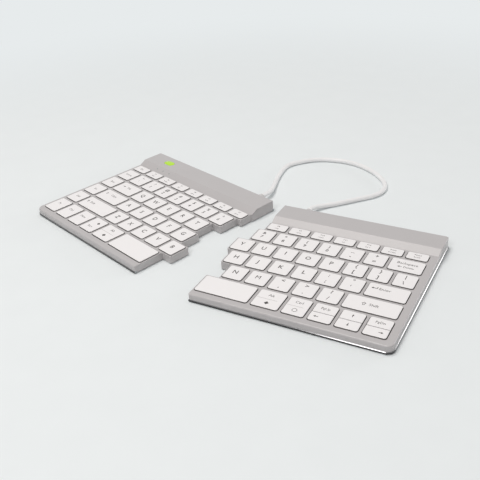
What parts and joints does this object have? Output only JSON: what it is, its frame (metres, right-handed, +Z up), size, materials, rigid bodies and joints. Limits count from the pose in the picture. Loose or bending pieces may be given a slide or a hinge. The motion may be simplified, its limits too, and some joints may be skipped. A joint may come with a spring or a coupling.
{
  "type": "split keyboard",
  "caption": "Low split keyboard in two stepped halves with flat white keys, a raised bar along the rear of each and a short cord that joins them.",
  "frame": {"origin": "on the desk, under the middle of the box around both halves, the cord and its strain reliefs left out", "axes": "+Z up, +X towards the right half, -Y towards the typist"},
  "size_m": [0.3566, 0.2615, 0.0104],
  "materials": {
    "case_plastic": "fine satin",
    "cap_plastic": "smooth satin",
    "polished_steel": "polished",
    "screw_steel": "plain",
    "foot_rubber": "matte",
    "membrane_film": "clear film",
    "plate_steel": "plain sheet",
    "dome_rubber": "soft",
    "link_plastic": "moulded",
    "board_laminate": "solder mask",
    "battery_foil": "foil",
    "window_plastic": "clear lime",
    "light_plastic": "unlit",
    "socket_steel": "drawn shell",
    "switch_plastic": "moulded",
    "knob_plastic": "moulded",
    "relief_rubber": "matte",
    "cord_jacket": "smooth"
  },
  "bodies": {
    "left_half": {"left_top_case": "case_plastic", "left_base_tray": "polished_steel", "left_screws": "screw_steel", "left_feet": "foot_rubber", "left_membrane": "membrane_film", "left_support_plate": "plate_steel", "left_domes": "dome_rubber", "left_scissor_links": "link_plastic", "left_circuit_board": "board_laminate", "battery": "battery_foil", "left_indicator_window": "window_plastic", "left_status_lights": "light_plastic", "charge_socket": "socket_steel", "power_switch": "switch_plastic", "left_cord_relief": "relief_rubber", "link_cord": "cord_jacket"},
    "right_half": {"right_top_case": "case_plastic", "right_base_tray": "polished_steel", "right_screws": "screw_steel", "right_feet": "foot_rubber", "right_membrane": "membrane_film", "right_support_plate": "plate_steel", "right_domes": "dome_rubber", "right_scissor_links": "link_plastic", "right_circuit_board": "board_laminate", "right_cord_relief": "relief_rubber"},
    "left_function_keys": {"left_function_keys": "cap_plastic"},
    "left_edge_keys": {"left_edge_keys": "cap_plastic"},
    "left_number_keys": {"left_number_keys": "cap_plastic"},
    "tab_key": {"tab_key": "cap_plastic"},
    "left_upper_letter_keys": {"left_upper_letter_keys": "cap_plastic"},
    "caps_lock_key": {"caps_lock_key": "cap_plastic"},
    "left_home_letter_keys": {"left_home_letter_keys": "cap_plastic"},
    "left_shift_key": {"left_shift_key": "cap_plastic"},
    "left_lower_letter_keys": {"left_lower_letter_keys": "cap_plastic"},
    "left_modifier_keys": {"left_modifier_keys": "cap_plastic"},
    "left_alt_key": {"left_alt_key": "cap_plastic"},
    "left_space_key": {"left_space_key": "cap_plastic"},
    "right_function_keys": {"right_function_keys": "cap_plastic"},
    "right_number_keys": {"right_number_keys": "cap_plastic"},
    "backspace_key": {"backspace_key": "cap_plastic"},
    "right_upper_letter_keys": {"right_upper_letter_keys": "cap_plastic"},
    "right_home_letter_keys": {"right_home_letter_keys": "cap_plastic"},
    "enter_key": {"enter_key": "cap_plastic"},
    "right_lower_letter_keys": {"right_lower_letter_keys": "cap_plastic"},
    "right_shift_key": {"right_shift_key": "cap_plastic"},
    "right_space_key": {"right_space_key": "cap_plastic"},
    "right_alt_key": {"right_alt_key": "cap_plastic"},
    "right_control_key": {"right_control_key": "cap_plastic"},
    "page_up_key": {"page_up_key": "cap_plastic"},
    "left_arrow_key": {"left_arrow_key": "cap_plastic"},
    "up_arrow_key": {"up_arrow_key": "cap_plastic"},
    "down_arrow_key": {"down_arrow_key": "cap_plastic"},
    "page_down_key": {"page_down_key": "cap_plastic"},
    "right_arrow_key": {"right_arrow_key": "cap_plastic"},
    "power_switch_knob": {"power_switch_knob": "knob_plastic"}
  },
  "joints": [
    {"name": "splay", "type": "hinge", "parent": "left_half", "child": "right_half", "pos_m": [0.01387, 0.09921, 0], "axis": [0, 0, 1], "range_deg": [-12, 20], "deforming": ["link_cord"]},
    {"name": "left_function_keys_press", "type": "slide", "parent": "left_half", "child": "left_function_keys", "axis": [0, 0, -1], "range_m": [0, 0.002], "stiffness_N_per_m": 1200, "springref_m": -0.0015, "deforming": ["left_domes", "left_scissor_links"]},
    {"name": "left_edge_keys_press", "type": "slide", "parent": "left_half", "child": "left_edge_keys", "axis": [0, 0, -1], "range_m": [0, 0.002], "stiffness_N_per_m": 600, "springref_m": -0.0015, "deforming": ["left_domes", "left_scissor_links"]},
    {"name": "left_number_keys_press", "type": "slide", "parent": "left_half", "child": "left_number_keys", "axis": [0, 0, -1], "range_m": [0, 0.002], "stiffness_N_per_m": 1050, "springref_m": -0.0015, "deforming": ["left_domes", "left_scissor_links"]},
    {"name": "tab_key_press", "type": "slide", "parent": "left_half", "child": "tab_key", "axis": [0, 0, -1], "range_m": [0, 0.002], "stiffness_N_per_m": 150, "springref_m": -0.0015, "deforming": ["left_domes", "left_scissor_links"]},
    {"name": "left_upper_letter_keys_press", "type": "slide", "parent": "left_half", "child": "left_upper_letter_keys", "axis": [0, 0, -1], "range_m": [0, 0.002], "stiffness_N_per_m": 750, "springref_m": -0.0015, "deforming": ["left_domes", "left_scissor_links"]},
    {"name": "caps_lock_key_press", "type": "slide", "parent": "left_half", "child": "caps_lock_key", "axis": [0, 0, -1], "range_m": [0, 0.002], "stiffness_N_per_m": 150, "springref_m": -0.0015, "deforming": ["left_domes", "left_scissor_links"]},
    {"name": "left_home_letter_keys_press", "type": "slide", "parent": "left_half", "child": "left_home_letter_keys", "axis": [0, 0, -1], "range_m": [0, 0.002], "stiffness_N_per_m": 750, "springref_m": -0.0015, "deforming": ["left_domes", "left_scissor_links"]},
    {"name": "left_shift_key_press", "type": "slide", "parent": "left_half", "child": "left_shift_key", "axis": [0, 0, -1], "range_m": [0, 0.002], "stiffness_N_per_m": 150, "springref_m": -0.0015, "deforming": ["left_domes", "left_scissor_links"]},
    {"name": "left_lower_letter_keys_press", "type": "slide", "parent": "left_half", "child": "left_lower_letter_keys", "axis": [0, 0, -1], "range_m": [0, 0.002], "stiffness_N_per_m": 750, "springref_m": -0.0015, "deforming": ["left_domes", "left_scissor_links"]},
    {"name": "left_modifier_keys_press", "type": "slide", "parent": "left_half", "child": "left_modifier_keys", "axis": [0, 0, -1], "range_m": [0, 0.002], "stiffness_N_per_m": 600, "springref_m": -0.0015, "deforming": ["left_domes", "left_scissor_links"]},
    {"name": "left_alt_key_press", "type": "slide", "parent": "left_half", "child": "left_alt_key", "axis": [0, 0, -1], "range_m": [0, 0.002], "stiffness_N_per_m": 150, "springref_m": -0.0015, "deforming": ["left_domes", "left_scissor_links"]},
    {"name": "left_space_key_press", "type": "slide", "parent": "left_half", "child": "left_space_key", "axis": [0, 0, -1], "range_m": [0, 0.002], "stiffness_N_per_m": 150, "springref_m": -0.0015, "deforming": ["left_domes", "left_scissor_links"]},
    {"name": "right_function_keys_press", "type": "slide", "parent": "right_half", "child": "right_function_keys", "axis": [0, 0, -1], "range_m": [0, 0.002], "stiffness_N_per_m": 1050, "springref_m": -0.0015, "deforming": ["right_domes", "right_scissor_links"]},
    {"name": "right_number_keys_press", "type": "slide", "parent": "right_half", "child": "right_number_keys", "axis": [0, 0, -1], "range_m": [0, 0.002], "stiffness_N_per_m": 900, "springref_m": -0.0015, "deforming": ["right_domes", "right_scissor_links"]},
    {"name": "backspace_key_press", "type": "slide", "parent": "right_half", "child": "backspace_key", "axis": [0, 0, -1], "range_m": [0, 0.002], "stiffness_N_per_m": 150, "springref_m": -0.0015, "deforming": ["right_domes", "right_scissor_links"]},
    {"name": "right_upper_letter_keys_press", "type": "slide", "parent": "right_half", "child": "right_upper_letter_keys", "axis": [0, 0, -1], "range_m": [0, 0.002], "stiffness_N_per_m": 1200, "springref_m": -0.0015, "deforming": ["right_domes", "right_scissor_links"]},
    {"name": "right_home_letter_keys_press", "type": "slide", "parent": "right_half", "child": "right_home_letter_keys", "axis": [0, 0, -1], "range_m": [0, 0.002], "stiffness_N_per_m": 900, "springref_m": -0.0015, "deforming": ["right_domes", "right_scissor_links"]},
    {"name": "enter_key_press", "type": "slide", "parent": "right_half", "child": "enter_key", "axis": [0, 0, -1], "range_m": [0, 0.002], "stiffness_N_per_m": 150, "springref_m": -0.0015, "deforming": ["right_domes", "right_scissor_links"]},
    {"name": "right_lower_letter_keys_press", "type": "slide", "parent": "right_half", "child": "right_lower_letter_keys", "axis": [0, 0, -1], "range_m": [0, 0.002], "stiffness_N_per_m": 750, "springref_m": -0.0015, "deforming": ["right_domes", "right_scissor_links"]},
    {"name": "right_shift_key_press", "type": "slide", "parent": "right_half", "child": "right_shift_key", "axis": [0, 0, -1], "range_m": [0, 0.002], "stiffness_N_per_m": 150, "springref_m": -0.0015, "deforming": ["right_domes", "right_scissor_links"]},
    {"name": "right_space_key_press", "type": "slide", "parent": "right_half", "child": "right_space_key", "axis": [0, 0, -1], "range_m": [0, 0.002], "stiffness_N_per_m": 150, "springref_m": -0.0015, "deforming": ["right_domes", "right_scissor_links"]},
    {"name": "right_alt_key_press", "type": "slide", "parent": "right_half", "child": "right_alt_key", "axis": [0, 0, -1], "range_m": [0, 0.002], "stiffness_N_per_m": 150, "springref_m": -0.0015, "deforming": ["right_domes", "right_scissor_links"]},
    {"name": "right_control_key_press", "type": "slide", "parent": "right_half", "child": "right_control_key", "axis": [0, 0, -1], "range_m": [0, 0.002], "stiffness_N_per_m": 150, "springref_m": -0.0015, "deforming": ["right_domes", "right_scissor_links"]},
    {"name": "page_up_key_press", "type": "slide", "parent": "right_half", "child": "page_up_key", "axis": [0, 0, -1], "range_m": [0, 0.002], "stiffness_N_per_m": 150, "springref_m": -0.0015, "deforming": ["right_domes", "right_scissor_links"]},
    {"name": "left_arrow_key_press", "type": "slide", "parent": "right_half", "child": "left_arrow_key", "axis": [0, 0, -1], "range_m": [0, 0.002], "stiffness_N_per_m": 150, "springref_m": -0.0015, "deforming": ["right_domes", "right_scissor_links"]},
    {"name": "up_arrow_key_press", "type": "slide", "parent": "right_half", "child": "up_arrow_key", "axis": [0, 0, -1], "range_m": [0, 0.002], "stiffness_N_per_m": 150, "springref_m": -0.0015, "deforming": ["right_domes", "right_scissor_links"]},
    {"name": "down_arrow_key_press", "type": "slide", "parent": "right_half", "child": "down_arrow_key", "axis": [0, 0, -1], "range_m": [0, 0.002], "stiffness_N_per_m": 150, "springref_m": -0.0015, "deforming": ["right_domes", "right_scissor_links"]},
    {"name": "page_down_key_press", "type": "slide", "parent": "right_half", "child": "page_down_key", "axis": [0, 0, -1], "range_m": [0, 0.002], "stiffness_N_per_m": 150, "springref_m": -0.0015, "deforming": ["right_domes", "right_scissor_links"]},
    {"name": "right_arrow_key_press", "type": "slide", "parent": "right_half", "child": "right_arrow_key", "axis": [0, 0, -1], "range_m": [0, 0.002], "stiffness_N_per_m": 150, "springref_m": -0.0015, "deforming": ["right_domes", "right_scissor_links"]},
    {"name": "power_switch_slide", "type": "slide", "parent": "left_half", "child": "power_switch_knob", "axis": [0.987, -0.1607, 0], "range_m": [0, 0.0025]}
  ]
}
